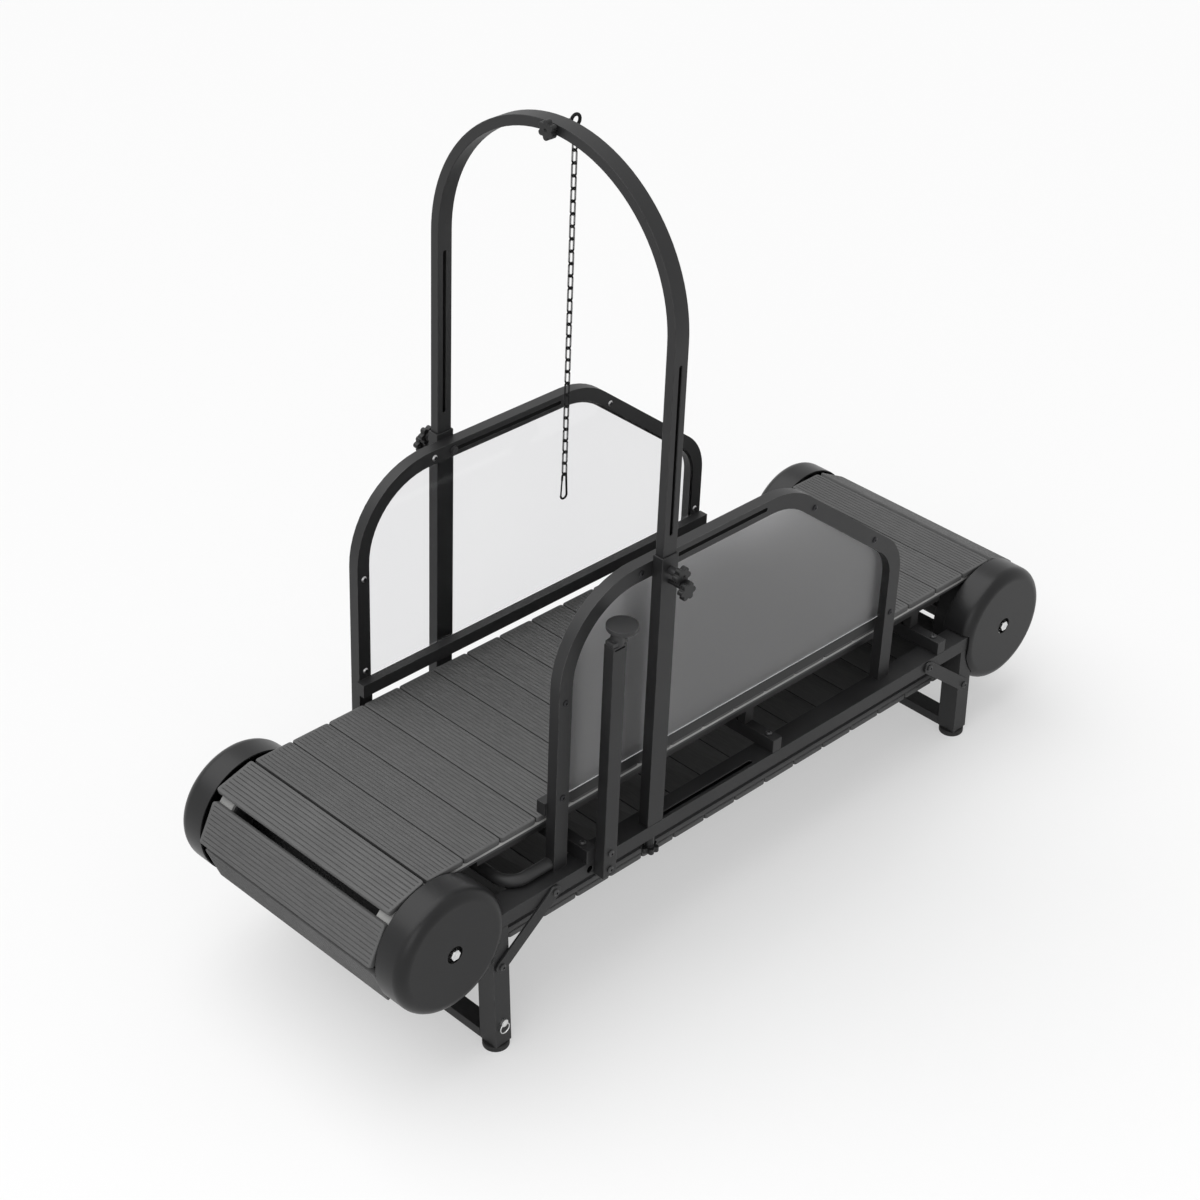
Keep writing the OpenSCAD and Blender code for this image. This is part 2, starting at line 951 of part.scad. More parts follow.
module knob_a_far() {
    color(dark)
        deck()
            side(1)
                knob_a();
}

// Knob B with its own screw, which squeezes the post's walls onto the arch's leg
module knob_b() {
    translate([post_x, -post_out - 36, knob_b_z])
        rotate([90, 0, 0]) {
            linear_extrude(height = knob_t)
                star(knob_d);
            translate([0, 0, -6])
                cylinder(d = 10, h = 6.5, $fn = 36);
            translate([0, 0, -36 - post_wy + seat])
                cylinder(d = bolt_d, h = 32 + post_wy);
        }
}

module knob_b_near() {
    color(dark)
        deck()
            knob_b();
}

module knob_b_far() {
    color(dark)
        deck()
            side(1)
                knob_b();
}

// Knob under the rail with its own screw up into the post's foot
module knob_rail() {
    translate([post_x, -post_y, -rail_bot - 26])
        rotate([180, 0, 0]) {
            linear_extrude(height = knob_t)
                star(knob_d);
            translate([0, 0, -26 + seat])
                cylinder(d = 18, h = 26.5 - seat, $fn = 36);
            translate([0, 0, -26 - rail_h - 15])
                cylinder(d = bolt_d, h = rail_h + 20);
        }
}

module knob_rail_near() {
    color(dark)
        deck()
            knob_rail();
}

module knob_rail_far() {
    color(dark)
        deck()
            side(1)
                knob_rail();
}

// Arch: a bent flat tube whose slotted legs run down inside the posts
module arch() {
    x0 = post_x - arch_w / 2;
    color(black)
        deck()
            difference() {
                union() {
                    translate([x0, 0, arch_c])
                        rotate([0, 0, 90])
                            rotate([90, 0, 0])
                                rotate_extrude(angle = 180, $fn = 96)
                                    translate([arch_r - arch_t / 2, 0])
                                        square([arch_t, arch_w]);
                    for (s = [-1, 1])
                        side(s)
                            box([x0, -arch_r - arch_t / 2, arch_bot],
                                [x0 + arch_w, -arch_r + arch_t / 2, arch_c]);
                }
                translate([x0 + 2.5, 0, arch_c])
                    rotate([0, 0, 90])
                        rotate([90, 0, 0])
                            rotate_extrude(angle = 180, $fn = 96)
                                translate([arch_r - arch_t / 2 + 2.5, 0])
                                    square([arch_t - 5, arch_w - 5]);
                for (s = [-1, 1])
                    side(s) {
                        slot_up(post_x, 545, 878, arch_slot_w, -arch_r - arch_t, -arch_r + arch_t);
                        slot_up(post_x, 138, 484, slot_w, -arch_r - arch_t, -arch_r + arch_t);
                        box([x0 + 2.5, -arch_r - arch_t / 2 + 2.5, arch_bot - 1],
                            [x0 + arch_w - 2.5, -arch_r + arch_t / 2 - 2.5, arch_c]);
                    }
                translate([x0 - 1, 0, arch_c + arch_r])
                    rotate([0, 90, 0])
                        cylinder(d = bolt_d + 2 * run, h = arch_w + 2);
            }
}

// Knob on the front end of the eye bolt, at the arch's top
module knob_top() {
    color(dark)
        deck()
            translate([post_x - arch_w / 2 - seat - 5, 0, arch_c + arch_r])
                rotate([0, -90, 0])
                    knob(bolt_d + 2 * run);
}

// A ring of wire in the YZ plane
module ring(r, d) {
    rotate([0, 90, 0])
        rotate_extrude($fn = 36)
            translate([r, 0])
                circle(d = d, $fn = 12);
}

// Eye bolt through the arch along X, with a ring behind it that carries the chain
module eye_bolt() {
    x = arch_w / 2 + seat + 9;
    color(dark)
        deck()
            translate([post_x, 0, arch_c + arch_r]) {
                translate([-x, 0, 0])
                    rotate([0, 90, 0])
                        cylinder(d = bolt_d, h = x + eye_x - ring_r);
                translate([eye_x, 0, 0])
                    rotate([0, 0, 90])
                        ring(ring_r, 6.4);
            }
}

// Lock nut on the eye bolt behind the arch
module eye_nut() {
    color(dark)
        deck()
            translate([post_x + arch_w / 2 + seat, 0, arch_c + arch_r])
                rotate([0, 90, 0])
                    difference() {
                        cylinder(d = 15, h = 5, $fn = 6);
                        translate([0, 0, -1])
                            cylinder(d = bolt_d + 2 * run, h = 7);
                    }
}

// A chain link standing along Z, in the YZ plane
module link(li, d) {
    w = 3.6 + d / 2;
    h = li / 2 + d / 2 - w;
    for (s = [-1, 1])
        translate([0, s * w, -h])
            cylinder(d = d, h = 2 * h, $fn = 8);
    for (a = [0, 180])
        rotate([a, 0, 0])
            translate([0, 0, h])
                rotate([90, 0, 90])
                    rotate_extrude(angle = 180, $fn = 20)
                        translate([w, 0])
                            circle(d = d, $fn = 8);
}

// The chain hangs from the eye bolt's ring, square to the deck
module hang() {
    deck()
        translate([post_x + eye_x, 0, arch_c + arch_r - ring_r - 8.8])
            children();
}

module chain_top() {
    color(dark)
        hang()
            link(link_in, link_d);
}

module chain() {
    color(dark)
        hang()
            for (i = [1:link_n - 1])
                translate([0, 0, -i * link_pitch])
                    rotate([0, 0, i % 2 == 0 ? 0 : 90])
                        link(link_in, link_d);
}

// Pear-shaped spring hook, its plane square to the last link
module hook() {
    color(dark)
        hang()
            translate([0, 0, hook_z])
                rotate([0, 0, hook_turn]) {
                    rotate([90, 0, 90])
                        rotate_extrude(angle = 180, $fn = 36)
                            translate([5, 0])
                                circle(d = 3.6, $fn = 12);
                    translate([0, -5, 0.5])
                        rotate([180 - 3.4, 0, 0])
                            cylinder(d = 3.6, h = 42, $fn = 12);
                    translate([0, 0, -41.4])
                        rotate([90, 0, 90])
                            rotate([0, 0, 180])
                                rotate_extrude(angle = 180, $fn = 36)
                                    translate([7.5, 0])
                                        circle(d = 3.6, $fn = 12);
                    translate([0, 5, 0.5])
                        rotate([180 + 3.4, 0, 0])
                            cylinder(d = 3.6, h = 9, $fn = 12);
                }
}

// Spring gate of the hook
module hook_gate() {
    color(zinc)
        hang()
            rotate([0, 0, hook_turn])
                translate([0, 5.6, hook_z - 9.2])
                    rotate([180 + 3.4, 0, 0])
                        cylinder(d = 3, h = 31.4, $fn = 16);
}

rail_near();
rail_far();
cross_front();
cross_mid();
cross_rear();
tie_tube();
belt_guides();
short_post();
top_plate();
frame_bolts();
panel_near();
panel_far();
sheet_near();
sheet_far();
panel_screws();
front_leg_near();
front_leg_far();
rear_leg_near();
rear_leg_far();
leg_bars();
braces();
cover_front_near();
cover_front_far();
cover_rear_near();
cover_rear_far();
front_axle();
rear_axle();
bushings();
belt_near();
belt_far();
slats_top();
slats_bottom();
slats_ends();
slat_nuts();
rear_pads();
front_drum();
rear_drum();
front_foot_near();
front_foot_far();
front_pad_near();
front_pad_far();
pin_near();
pin_far();
post_near();
post_far();
slot_bolts();
knob_a_near();
knob_a_far();
knob_b_near();
knob_b_far();
knob_rail_near();
knob_rail_far();
knob_top();
arch();
eye_bolt();
eye_nut();
chain_top();
chain();
hook();
hook_gate();
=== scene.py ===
"""Slat-belt dog treadmill: the looks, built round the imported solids."""

import math

import bmesh
import bpy
from mathutils import Matrix, Vector


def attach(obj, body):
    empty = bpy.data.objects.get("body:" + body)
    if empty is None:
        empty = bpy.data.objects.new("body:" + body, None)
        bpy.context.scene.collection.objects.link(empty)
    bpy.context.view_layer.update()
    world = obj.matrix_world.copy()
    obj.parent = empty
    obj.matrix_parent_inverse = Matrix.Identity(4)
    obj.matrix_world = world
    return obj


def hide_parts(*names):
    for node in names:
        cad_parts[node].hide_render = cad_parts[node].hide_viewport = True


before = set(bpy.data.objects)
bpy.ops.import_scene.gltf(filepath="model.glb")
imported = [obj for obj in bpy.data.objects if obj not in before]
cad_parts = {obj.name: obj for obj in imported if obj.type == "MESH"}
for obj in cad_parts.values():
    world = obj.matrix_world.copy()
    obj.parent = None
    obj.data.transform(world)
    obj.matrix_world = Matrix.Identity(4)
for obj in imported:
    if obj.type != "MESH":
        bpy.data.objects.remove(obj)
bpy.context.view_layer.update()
bpy.ops.object.select_all(action="DESELECT")


# ---------------------------------------------------------------------------
# Steel frame: rails, cross members, tie tube, legs, braces and short post.
# Cut and bent box tube, welded and bolted, then powder coated in fine black.
# Every edge is rounded a little, as the rolled tube and the coat leave it.

def new_group(name, inputs, outputs):
    """An empty shader group with named number or vector inputs and number outputs."""
    group = bpy.data.node_groups.new(name, "ShaderNodeTree")
    for label, kind, value in inputs:
        socket = group.interface.new_socket(name=label, in_out="INPUT", socket_type=kind)
        if value is not None:
            socket.default_value = value
    for label, kind in outputs:
        group.interface.new_socket(name=label, in_out="OUTPUT", socket_type=kind)
    start = group.nodes.new("NodeGroupInput")
    end = group.nodes.new("NodeGroupOutput")
    return group, start, end


def spread(nodes, links, value, low, high, to_low, to_high):
    """Maps a value's range to another one."""
    node = nodes.new("ShaderNodeMapRange")
    node.inputs["From Min"].default_value = low
    node.inputs["From Max"].default_value = high
    node.inputs["To Min"].default_value = to_low
    node.inputs["To Max"].default_value = to_high
    links.new(value, node.inputs["Value"])
    return node.outputs["Result"]


def calculate(nodes, links, operation, *values):
    """One step of arithmetic on sockets or numbers."""
    node = nodes.new("ShaderNodeMath")
    node.operation = operation
    for socket, value in zip(node.inputs, values):
        if isinstance(value, (int, float)):
            socket.default_value = value
        else:
            links.new(value, socket)
    return node.outputs["Value"]


def noise(nodes, links, place, scale, detail=2.0, roughness=0.5):
    """Fractal noise; its scale per metre is a number or a socket."""
    node = nodes.new("ShaderNodeTexNoise")
    links.new(place, node.inputs["Vector"])
    if isinstance(scale, (int, float)):
        node.inputs["Scale"].default_value = scale
    else:
        links.new(scale, node.inputs["Scale"])
    node.inputs["Detail"].default_value = detail
    node.inputs["Roughness"].default_value = roughness
    return node.outputs["Fac"]


# Fine skin of a sprayed or moulded surface: a fine grain and slow cloudy tone
skin, s_in, s_out = new_group(
    "surface_skin",
    [("Place", "NodeSocketVector", None), ("Grain per metre", "NodeSocketFloat", 900.0),
     ("Clouds per metre", "NodeSocketFloat", 7.0)],
    [("Grain", "NodeSocketFloat"), ("Clouds", "NodeSocketFloat")])
grain = noise(skin.nodes, skin.links, s_in.outputs["Place"], s_in.outputs["Grain per metre"])
clouds = noise(skin.nodes, skin.links, s_in.outputs["Place"], s_in.outputs["Clouds per metre"],
               detail=4.0, roughness=0.6)
skin.links.new(grain, s_out.inputs["Grain"])
skin.links.new(clouds, s_out.inputs["Clouds"])

# Painted highlight along edges: where a rounded normal leaves the flat one, broken up by noise
edge_highlight_group, r_in, r_out = new_group(
    "painted_edge_highlight",
    [("Place", "NodeSocketVector", None), ("Reach", "NodeSocketFloat", 0.0015),
     ("Amount", "NodeSocketFloat", 1.0)],
    [("Highlight", "NodeSocketFloat")])
round_normal = edge_highlight_group.nodes.new("ShaderNodeBevel")
round_normal.samples = 4
flat_normal = edge_highlight_group.nodes.new("ShaderNodeNewGeometry")
dot = edge_highlight_group.nodes.new("ShaderNodeVectorMath")
dot.operation = "DOT_PRODUCT"
edge_highlight_group.links.new(r_in.outputs["Reach"], round_normal.inputs["Radius"])
edge_highlight_group.links.new(round_normal.outputs["Normal"], dot.inputs[0])
edge_highlight_group.links.new(flat_normal.outputs["Normal"], dot.inputs[1])
edge = spread(edge_highlight_group.nodes, edge_highlight_group.links, dot.outputs["Value"], 0.995, 0.86, 0, 1)
highlight_breakup = noise(edge_highlight_group.nodes, edge_highlight_group.links, r_in.outputs["Place"], 60.0, detail=5.0)
broken = spread(edge_highlight_group.nodes, edge_highlight_group.links, highlight_breakup, 0.32, 0.60, 0, 1)
both = calculate(edge_highlight_group.nodes, edge_highlight_group.links, "MULTIPLY", edge, broken)
edge_highlight_group.links.new(calculate(edge_highlight_group.nodes, edge_highlight_group.links, "MULTIPLY", both, r_in.outputs["Amount"]),
              r_out.inputs["Highlight"])


def new_finish(name, roughness, metallic=0.0):
    """A material with its shader, object coordinates, and short ways to add nodes."""
    material = bpy.data.materials.new(name)
    material.use_nodes = True
    nodes, links = material.node_tree.nodes, material.node_tree.links
    shader = nodes["Principled BSDF"]
    shader.inputs["Roughness"].default_value = roughness
    shader.inputs["Metallic"].default_value = metallic
    place = nodes.new("ShaderNodeTexCoord").outputs["Object"]
    return material, nodes, links, shader, place


def add_group(nodes, links, group, place, **values):
    """Places a shared group in a material with its own values."""
    node = nodes.new("ShaderNodeGroup")
    node.node_tree = group
    links.new(place, node.inputs["Place"])
    for label, value in values.items():
        node.inputs[label.replace("_", " ")].default_value = value
    return node


def mix_colour(nodes, links, mask, first, second):
    """The colour first where the mask is 0 and second where it is 1."""
    mix = nodes.new("ShaderNodeMix")
    mix.data_type = "RGBA"
    links.new(mask, mix.inputs["Factor"])
    for socket, colour in ((mix.inputs["A"], first), (mix.inputs["B"], second)):
        if isinstance(colour, tuple):
            socket.default_value = (*colour, 1)
        else:
            links.new(colour, socket)
    return mix.outputs["Result"]


def add_bump(nodes, links, shader, height, distance):
    """Feeds a height to the shader's normal, its distance in metres."""
    bump = nodes.new("ShaderNodeBump")
    bump.inputs["Distance"].default_value = distance
    bump.inputs["Strength"].default_value = 1.0
    links.new(height, bump.inputs["Height"])
    links.new(bump.outputs["Normal"], shader.inputs["Normal"])


def coated(name, dark, light, highlight_colour, low_rough, high_rough, grain_size=900.0, bump=0.00006,
           highlight_amount=0.5, shine=0.34):
    """A coat or moulding with fine grain, cloudy tone, varied gloss and a painted highlight
    along its edges.
    """
    material, nodes, links, shader, place = new_finish(name, 0.5)
    shader.inputs["Specular IOR Level"].default_value = shine
    surface = add_group(nodes, links, skin, place, Grain_per_metre=grain_size)
    lit_edges = add_group(nodes, links, edge_highlight_group, place, Amount=highlight_amount)
    cloudy = spread(nodes, links, surface.outputs["Clouds"], 0.35, 0.68, 0, 1)
    tone = mix_colour(nodes, links, cloudy, dark, light)
    links.new(mix_colour(nodes, links, lit_edges.outputs["Highlight"], tone, highlight_colour),
              shader.inputs["Base Color"])
    links.new(spread(nodes, links, surface.outputs["Clouds"], 0.3, 0.7, low_rough, high_rough),
              shader.inputs["Roughness"])
    add_bump(nodes, links, shader, surface.outputs["Grain"], bump)
    return material


def finish_node(material, *names):
    """Gives CAD nodes one finish over their whole surface."""
    for name in names:
        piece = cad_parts[name]
        piece.data.materials.clear()
        piece.data.materials.append(material)


def join_corners(name):
    """Marks a CAD node's faces smooth and joins the corners that they share."""
    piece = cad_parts[name]
    piece.data.polygons.foreach_set("use_smooth", [True] * len(piece.data.polygons))
    weld = piece.modifiers.new("joined corners", "WELD")
    weld.merge_threshold = 0.000005
    return piece


def soften(width, *names, steps=2):
    """Rounds the edges of CAD nodes and shades their curved faces smooth."""
    for name in names:
        piece = join_corners(name)
        flat = piece.modifiers.new("flat faces", "DECIMATE")
        flat.decimate_type = "DISSOLVE"
        flat.angle_limit = math.radians(0.5)
        edges = piece.modifiers.new("rounded edges", "BEVEL")
        edges.width = width
        edges.segments = steps
        edges.limit_method = "ANGLE"
        edges.angle_limit = math.radians(35)
        edges.use_clamp_overlap = False
        edges.miter_outer = "MITER_ARC"
        weighted = piece.modifiers.new("even shading", "WEIGHTED_NORMAL")
        weighted.weight = 60


def smooth(*names, angle=35):
    """Shades the curved faces of small CAD nodes smooth and keeps their sharp edges."""
    for name in names:
        piece = join_corners(name)
        split = piece.modifiers.new("sharp edges", "EDGE_SPLIT")
        split.split_angle = math.radians(angle)
        split.use_edge_sharp = False


# The paler edge colour is a painted highlight along the coat's rounded edges.
black_coat = {"dark": (0.011, 0.011, 0.0115), "light": (0.016, 0.016, 0.0165),
              "highlight_colour": (0.11, 0.11, 0.11), "low_rough": 0.42, "high_rough": 0.55,
              "grain_size": 1100, "bump": 0.00007, "highlight_amount": 0.75}
powder_coat = coated("powder_coat", **black_coat)
box_tubes = ("rail_near", "rail_far", "cross_front", "cross_mid", "cross_rear",
             "front_leg_near", "front_leg_far", "rear_leg_near", "rear_leg_far",
             "leg_bars", "short_post", "front_foot_near", "front_foot_far")
finish_node(powder_coat, *box_tubes, "braces")
# A lighter copy of the black coat for the tie tube and the top plate: painted light.
lit_tube_coat = coated("lit_tube_coat", (0.020, 0.020, 0.0205), (0.028, 0.028, 0.0285),
                   (0.11, 0.11, 0.11), 0.40, 0.52, grain_size=1100, bump=0.00006)
finish_node(lit_tube_coat, "tie_tube")
soften(0.0012, *box_tubes)
soften(0.0008, "braces")
smooth("tie_tube")


# ---------------------------------------------------------------------------
# Side panels: a flat bar bent to an arch, welded to a box tube along its foot.
# Black coated steel, standing on the rails inside the posts, with painted shade inside the
# slots.

drum_gap = 1.606
drum_depth = 0.126
tilt = math.radians(3)
deck_middle = Vector((drum_depth * math.sin(tilt), 0, 0.405))
deck_to_floor = Matrix.Translation(deck_middle) @ Matrix.Rotation(tilt, 4, "Y")


def deck_place(nodes, links, place, rise=0.0):
    """X, Y and Z along the sloping deck, Z counted from the belt's top, plus rise."""
    level = nodes.new("ShaderNodeMapping")
    level.inputs["Rotation"].default_value = (0, -tilt, 0)
    level.inputs["Location"].default_value = (
        Vector((0, 0, rise)) - Matrix.Rotation(-tilt, 3, "Y") @ deck_middle)
    links.new(place, level.inputs["Vector"])
    split = nodes.new("ShaderNodeSeparateXYZ")
    links.new(level.outputs["Vector"], split.inputs["Vector"])
    return split.outputs


panel_coat = coated("panel_coat", **black_coat)
nodes, links = panel_coat.node_tree.nodes, panel_coat.node_tree.links
shader = nodes["Principled BSDF"]
place = nodes.new("ShaderNodeTexCoord").outputs["Object"]
spot = deck_place(nodes, links, place)
from_middle = calculate(nodes, links, "ABSOLUTE", spot["Y"])
# Inside the slots the coat is near black and fully rough: painted shade in the slots.
slot_middle = (-0.13825, 0.2767, 0.4705)
slot_half = (0.151, 0.0113, 0.0052)
slot_blur = 0.0003
slot_shade = 1.0
for value, middle, half in zip((spot["X"], from_middle, spot["Z"]), slot_middle, slot_half):
    apart = calculate(nodes, links, "ABSOLUTE",
                      calculate(nodes, links, "SUBTRACT", value, middle))
    slot_shade = calculate(nodes, links, "MULTIPLY", slot_shade,
                        spread(nodes, links, apart, half, half + slot_blur, 1, 0))
coat_colour = shader.inputs["Base Color"].links[0].from_socket
coat_rough = shader.inputs["Roughness"].links[0].from_socket
links.new(mix_colour(nodes, links, slot_shade, coat_colour, (0.001, 0.001, 0.001)),
          shader.inputs["Base Color"])
links.new(calculate(nodes, links, "MAXIMUM", coat_rough, slot_shade), shader.inputs["Roughness"])
finish_node(panel_coat, "panel_near", "panel_far")
smooth("panel_near", "panel_far")


# ---------------------------------------------------------------------------
# Panel sheets: smoke-tinted clear acrylic, 4 mm, set into the frames' inner
# rebates. The near one is milky, so the slats behind it show only as a tone.

def facing_sideways(nodes, links):
    """How squarely a face looks to the near or the far side, from 0 to 1."""
    split = nodes.new("ShaderNodeSeparateXYZ")
    links.new(nodes.new("ShaderNodeNewGeometry").outputs["True Normal"], split.inputs["Vector"])
    return calculate(nodes, links, "ABSOLUTE", split.outputs["Y"])


def tinted_sheet(name, tint, rough, bend):
    """A clear sheet with a faint slowly changing haze, and dark cut edges."""
    material, nodes, links, shader, place = new_finish(name, rough)
    haze = noise(nodes, links, place, 3.0, detail=0.0)
    clear = mix_colour(nodes, links, haze, (tint, tint, tint + 0.01),
                       (tint + 0.03, tint + 0.03, tint + 0.035))
    broad = spread(nodes, links, facing_sideways(nodes, links), 0.5, 0.6, 0, 1)
    links.new(mix_colour(nodes, links, broad, (0.04, 0.042, 0.044), clear),
              shader.inputs["Base Color"])
    shader.inputs["Transmission Weight"].default_value = 1.0
    shader.inputs["IOR"].default_value = bend
    return material


finish_node(tinted_sheet("milky_sheet", 0.58, 0.28, 1.42), "sheet_near")
finish_node(tinted_sheet("tinted_sheet", 0.83, 0.03, 1.18), "sheet_far")


# ---------------------------------------------------------------------------
# Lower posts and arch: slotted flat tube bent in a half circle, which slides
# up and down in the posts. Black coated steel.

finish_node(powder_coat, "post_near", "post_far", "arch")
soften(0.0012, "post_near", "post_far", "arch")


# ---------------------------------------------------------------------------
# Side covers: spun cups over the drum ends, with the axle's hexagon in a hole.
# Satin black sheet with a wide round rim.

cover_finish = coated("satin_cover", (0.010, 0.010, 0.0104), (0.014, 0.014, 0.0144),
                      (0.06, 0.06, 0.06), 0.30, 0.38, grain_size=700, bump=0.00003,
                      highlight_amount=0.5, shine=0.24)
covers = ("cover_front_near", "cover_front_far", "cover_rear_near", "cover_rear_far")
finish_node(cover_finish, *covers)
soften(0.0009, *covers)


# ---------------------------------------------------------------------------
# Drums, bearing sleeves and fixed axles: welded steel drums with a pulley for
# the belt at each end, turning on bronze sleeves round a zinc-plated axle.

drum_finish = coated("drum_paint", (0.012, 0.012, 0.0125), (0.022, 0.022, 0.0225),
                     (0.12, 0.12, 0.12), 0.35, 0.6, grain_size=400, bump=0.00005)
finish_node(drum_finish, "front_drum", "rear_drum")
soften(0.0008, "front_drum", "rear_drum")


def grained(name, dark, light, low_rough, high_rough, grain_size=2200.0, cloud_size=120.0,
            bump=0.00003, metallic=1.0, shine=0.5, clouds_from=0.3, clouds_to=0.7):
    """Plated metal, wire or rubber: blotchy tone, and gloss that varies with a fine grain."""
    material, nodes, links, shader, place = new_finish(name, 0.4, metallic=metallic)
    shader.inputs["Specular IOR Level"].default_value = shine
    surface = add_group(nodes, links, skin, place, Grain_per_metre=grain_size,
                        Clouds_per_metre=cloud_size)
    tone = spread(nodes, links, surface.outputs["Clouds"], clouds_from, clouds_to, 0, 1)
    links.new(mix_colour(nodes, links, tone, dark, light), shader.inputs["Base Color"])
    links.new(spread(nodes, links, surface.outputs["Grain"], 0.3, 0.7, low_rough, high_rough),
              shader.inputs["Roughness"])
    if bump:
        add_bump(nodes, links, shader, surface.outputs["Grain"], bump)
    return material


zinc = grained("zinc_plate", (0.55, 0.56, 0.57), (0.80, 0.80, 0.79), 0.22, 0.40)
sleeve = grained("bronze_sleeve", (0.30, 0.20, 0.09), (0.45, 0.32, 0.16), 0.3, 0.5)
finish_node(zinc, "front_axle", "rear_axle")
finish_node(sleeve, "bushings")
soften(0.0012, "front_axle", "rear_axle")
smooth("bushings")


# ---------------------------------------------------------------------------
# Belts: two endless rubber belts that carry the slats' ends round the drums,
# dark inside with a pale cut edge next to the slats, and their plastic tracks.
# The pale edge is darkened on the lower run: painted shade under the deck.

belt_rubber, nodes, links, shader, place = new_finish("belt_rubber", 0.7)
surface = add_group(nodes, links, skin, place, Grain_per_metre=1500.0, Clouds_per_metre=18.0)
from_axles = deck_place(nodes, links, place, rise=drum_depth)
along = calculate(nodes, links, "ABSOLUTE", from_axles["X"])
past_axle = spread(nodes, links, along, drum_gap / 2, drum_gap / 2 + 1, 0, 1)
round_axle = nodes.new("ShaderNodeCombineXYZ")
links.new(past_axle, round_axle.inputs["X"])
links.new(from_axles["Z"], round_axle.inputs["Z"])
depth = nodes.new("ShaderNodeVectorMath")
depth.operation = "LENGTH"
links.new(round_axle.outputs["Vector"], depth.inputs[0])
ply_from, ply_to = 0.1070, 0.1074
pale_ply = spread(nodes, links, depth.outputs["Value"], ply_from, ply_to, 0, 1)
plies = noise(nodes, links, place, 260.0)
dust = spread(nodes, links, surface.outputs["Clouds"], 0.35, 0.7, 0, 1)
dusty_pale = mix_colour(nodes, links, dust, (0.32, 0.32, 0.315), (0.44, 0.44, 0.43))
# Painted shade: the pale edge turns dark on the lower run, under the deck.
run_blend = 0.02
upper_run = spread(nodes, links, from_axles["Z"], -run_blend, run_blend, 0, 1)
pale = mix_colour(nodes, links, upper_run, (0.06, 0.06, 0.06), dusty_pale)
links.new(mix_colour(nodes, links, pale_ply, (0.045, 0.045, 0.046), pale),
          shader.inputs["Base Color"])
links.new(spread(nodes, links, surface.outputs["Grain"], 0.3, 0.7, 0.6, 0.8),
          shader.inputs["Roughness"])
add_bump(nodes, links, shader, plies, 0.0001)
finish_node(belt_rubber, "belt_near", "belt_far")
smooth("belt_near", "belt_far")
track = coated("track_plastic", (0.014, 0.014, 0.014), (0.02, 0.02, 0.02), (0.05, 0.05, 0.05),
               0.35, 0.5, grain_size=600, bump=0.00003)
finish_node(track, "belt_guides")
soften(0.001, "belt_guides")


# ---------------------------------------------------------------------------
# Slats: extruded wood-plastic boards, each with nine fine grooves along its length
# and plain ends, bolted to both belts one by one so that they bend round the drums.

slat_count = 43
slat_size = (0.0885, 0.493, 0.012)
first_slat = 0.0442
belt_bend = 0.108
slat_out = 0.120
slat_lag = 0.015
corner_round = 0.006
top_round = 0.0018
groove_count = 9
groove_gap = 0.009
groove_half = 0.0012
groove_depth = 0.0013
groove_end = 0.0055
groove_taper = 0.992


def pick(mesh, kind, test):
    """Selects in edit mode the faces or edges that pass a test, and nothing else."""
    bpy.ops.mesh.select_all(action="DESELECT")
    bpy.ops.mesh.select_mode(type=kind)
    for part in mesh.faces if kind == "FACE" else mesh.edges:
        part.select_set(bool(test(part)))


bpy.ops.object.select_all(action="DESELECT")
bpy.ops.mesh.primitive_cube_add(size=1, location=(0, 0, 0))
slat = bpy.context.object
slat.name = "slat"
slat.scale = slat_size
bpy.ops.object.transform_apply(location=True, rotation=True, scale=True)
bpy.ops.object.mode_set(mode="EDIT")
work = bmesh.from_edit_mesh(slat.data)
pick(work, "EDGE", lambda line: abs((line.verts[0].co - line.verts[1].co).z) > 0.01)
bpy.ops.mesh.bevel(offset=corner_round, segments=4, affect="EDGES")
work = bmesh.from_edit_mesh(slat.data)
pick(work, "EDGE", lambda line: abs((line.verts[0].co + line.verts[1].co).z) > 0.0119)
bpy.ops.mesh.bevel(offset=top_round, segments=2, affect="EDGES")
groove_y = slat_size[1] / 2 - groove_end
groove_x = [(i - groove_count // 2) * groove_gap for i in range(groove_count)]
for cut, across in ([(x + s * groove_half, (1, 0, 0)) for x in groove_x for s in (-1, 1)]
                    + [(s * groove_y, (0, 1, 0)) for s in (-1, 1)]):
    work = bmesh.from_edit_mesh(slat.data)
    pick(work, "FACE", lambda face: face.normal.z > 0.99)
    bpy.ops.mesh.bisect(plane_co=[cut * a for a in across], plane_no=across)
work = bmesh.from_edit_mesh(slat.data)
pick(work, "FACE", lambda face: face.normal.z > 0.99
     and abs(face.calc_center_median().y) < groove_y - 0.01
     and any(abs(face.calc_center_median().x - x) < 0.001 for x in groove_x))
bpy.ops.mesh.extrude_region_move(TRANSFORM_OT_translate={"value": (0, 0, -groove_depth)})
bpy.ops.transform.resize(value=(1, groove_taper, 1))
work = bmesh.from_edit_mesh(slat.data)
# Faces on the slats' long sides take a darker finish: painted shade in the gaps between slats.
board_top, board_groove, board_side = 0, 1, 2
for face in work.faces:
    upright = abs(face.normal.x) > 0.9 and abs(face.calc_center_median().x) > 0.04
    face.material_index = (board_groove if face.select else
                           board_side if upright else board_top)
bmesh.update_edit_mesh(slat.data)
bpy.ops.object.mode_set(mode="OBJECT")
soft = slat.modifiers.new("soft grooves", "BEVEL")
soft.width = 0.0004
soft.segments = 1
soft.limit_method = "ANGLE"
soft.angle_limit = math.radians(50)
bpy.ops.object.modifier_apply(modifier="soft grooves")
bpy.ops.object.shade_smooth_by_angle(angle=math.radians(50))

